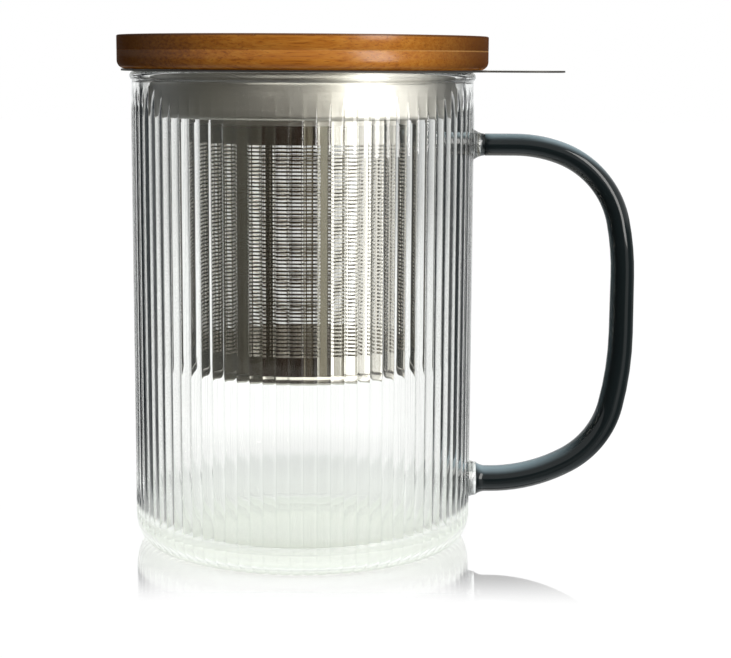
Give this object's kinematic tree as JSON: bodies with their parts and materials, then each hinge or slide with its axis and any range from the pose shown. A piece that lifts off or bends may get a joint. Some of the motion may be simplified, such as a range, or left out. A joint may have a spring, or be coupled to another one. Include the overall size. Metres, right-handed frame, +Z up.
{
  "type": "lidded tea mug with infuser",
  "caption": "Ribbed clear glass tea mug with a dark glass rod handle, a lift-out perforated steel infuser with a side tab, and a lift-off wooden lid with a seal ring.",
  "frame": {"origin": "middle of the mug's flat base, on the mug's axis", "axes": "+Z up along the mug's axis, +X from the axis towards the handle and the infuser's lifting tab"},
  "size_m": [0.1286, 0.091, 0.1254],
  "materials": {
    "clear_glass": "clear, glossy",
    "dark_glass": "dark teal grey, glossy",
    "steel": "fine satin",
    "perforated_steel": "bright rolled sheet with fine holes",
    "lid_wood": "satin lacquered, fine straight grain",
    "silicone": "translucent matte"
  },
  "bodies": {
    "mug": {"mug_body": "clear_glass", "handle": "dark_glass", "upper_handle_weld": "clear_glass", "lower_handle_weld": "clear_glass"},
    "infuser": {"infuser_flange": "steel", "infuser_collar": "steel", "basket_wall": "perforated_steel", "basket_base": "steel"},
    "lid": {"lid_upper_board": "lid_wood", "lid_lower_board": "lid_wood", "lid_seal_ring": "silicone"}
  },
  "joints": [
    {"name": "infuser_lift", "type": "slide", "parent": "mug", "child": "infuser", "axis": [0, 0, 1], "range_m": [0, 0.09]},
    {"name": "lid_lift", "type": "slide", "parent": "infuser", "child": "lid", "axis": [0, 0, 1], "range_m": [0, 0.04]}
  ]
}
